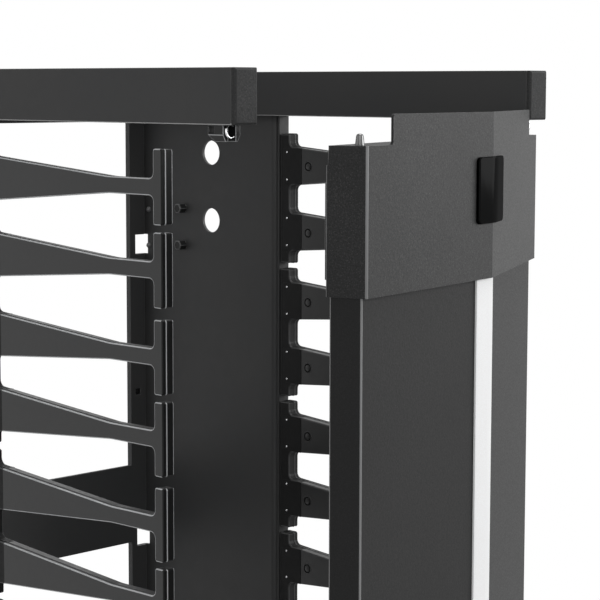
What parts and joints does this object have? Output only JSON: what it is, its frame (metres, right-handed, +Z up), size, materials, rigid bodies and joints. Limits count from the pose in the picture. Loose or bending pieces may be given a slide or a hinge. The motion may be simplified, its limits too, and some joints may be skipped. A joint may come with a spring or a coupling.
{
  "type": "vertical cable manager",
  "caption": "Tall free-standing rack cable channel with moulded cable fingers down both sides and a hinged, creased steel front door on spring-loaded pins.",
  "frame": {"origin": "middle of the base plate's underside, on the floor", "axes": "+Z up the rack, -Y out of the front where the door is, +X towards the side that the open door hangs from"},
  "size_m": [0.256, 0.4258, 2.134],
  "materials": {
    "frame_paint": "satin black powder coat",
    "channel_paint": "satin black powder coat",
    "door_paint": "fine textured black powder coat",
    "accent_paint": "pale silver satin",
    "badge_gloss": "gloss black, bare",
    "end_cap_plastic": "fine textured black",
    "finger_plastic": "smooth moulded black",
    "socket_plastic": "moulded black",
    "knob_plastic": "moulded black",
    "bright_steel": "bright zinc plated",
    "spring_steel": "drawn spring wire",
    "guide_paint": "black powder coat",
    "black_steel": "black oxide"
  },
  "bodies": {
    "frame": {"top_bar_left": "frame_paint", "bottom_bar_left": "frame_paint", "end_cap_top_left_front": "end_cap_plastic", "end_cap_top_left_rear": "end_cap_plastic", "end_cap_bottom_left_front": "end_cap_plastic", "end_cap_bottom_left_rear": "end_cap_plastic", "side_channel_left": "channel_paint", "fingers_left_1": "finger_plastic", "fingers_left_2": "finger_plastic", "fingers_left_3": "finger_plastic", "top_bar_right": "frame_paint", "bottom_bar_right": "frame_paint", "end_cap_top_right_front": "end_cap_plastic", "end_cap_top_right_rear": "end_cap_plastic", "end_cap_bottom_right_front": "end_cap_plastic", "end_cap_bottom_right_rear": "end_cap_plastic", "side_channel_right": "channel_paint", "fingers_right_1": "finger_plastic", "fingers_right_2": "finger_plastic", "fingers_right_3": "finger_plastic", "top_tie": "frame_paint", "base_plate": "frame_paint", "back_panel": "channel_paint", "latch_socket_top_left": "socket_plastic", "latch_clip_top_left": "bright_steel", "latch_socket_top_right": "socket_plastic", "latch_clip_top_right": "bright_steel", "latch_socket_bottom_left": "socket_plastic", "latch_clip_bottom_left": "bright_steel", "latch_socket_bottom_right": "socket_plastic", "latch_clip_bottom_right": "bright_steel", "panel_bolts": "black_steel", "bay_bolts": "black_steel"},
    "door": {"door_skin": "door_paint", "accent_strip": "accent_paint", "badge_plate": "badge_gloss", "door_cap_top": "door_paint", "door_cap_bottom": "door_paint", "pin_guide_top_left": "guide_paint", "pin_spring_top_left": "spring_steel", "pin_guide_top_right": "guide_paint", "pin_spring_top_right": "spring_steel", "pin_guide_bottom_left": "guide_paint", "pin_spring_bottom_left": "spring_steel", "pin_guide_bottom_right": "guide_paint", "pin_spring_bottom_right": "spring_steel"},
    "pin_top_left": {"door_pin_top_left": "bright_steel", "pin_knob_top_left": "knob_plastic"},
    "pin_top_right": {"door_pin_top_right": "bright_steel", "pin_knob_top_right": "knob_plastic"},
    "pin_bottom_left": {"door_pin_bottom_left": "bright_steel", "pin_knob_bottom_left": "knob_plastic"},
    "pin_bottom_right": {"door_pin_bottom_right": "bright_steel", "pin_knob_bottom_right": "knob_plastic"}
  },
  "joints": [
    {"name": "door_swing", "type": "hinge", "parent": "frame", "child": "door", "pos_m": [0.1189, -0.1626, 0], "axis": [0, 0, 1], "range_deg": [-19, 91]},
    {"name": "pin_top_left_slide", "type": "slide", "parent": "door", "child": "pin_top_left", "axis": [0, 0, 1], "range_m": [-0.0065, 0], "stiffness_N_per_m": 500, "springref_m": 0.006, "deforming": ["pin_spring_top_left"]},
    {"name": "pin_top_right_slide", "type": "slide", "parent": "door", "child": "pin_top_right", "axis": [0, 0, 1], "range_m": [-0.0065, 0], "stiffness_N_per_m": 500, "springref_m": 0.006, "deforming": ["pin_spring_top_right"]},
    {"name": "pin_bottom_left_slide", "type": "slide", "parent": "door", "child": "pin_bottom_left", "axis": [0, 0, 1], "range_m": [0, 0.0065], "stiffness_N_per_m": 500, "springref_m": -0.006, "deforming": ["pin_spring_bottom_left"]},
    {"name": "pin_bottom_right_slide", "type": "slide", "parent": "door", "child": "pin_bottom_right", "axis": [0, 0, 1], "range_m": [0, 0.0065], "stiffness_N_per_m": 500, "springref_m": -0.006, "deforming": ["pin_spring_bottom_right"]}
  ]
}
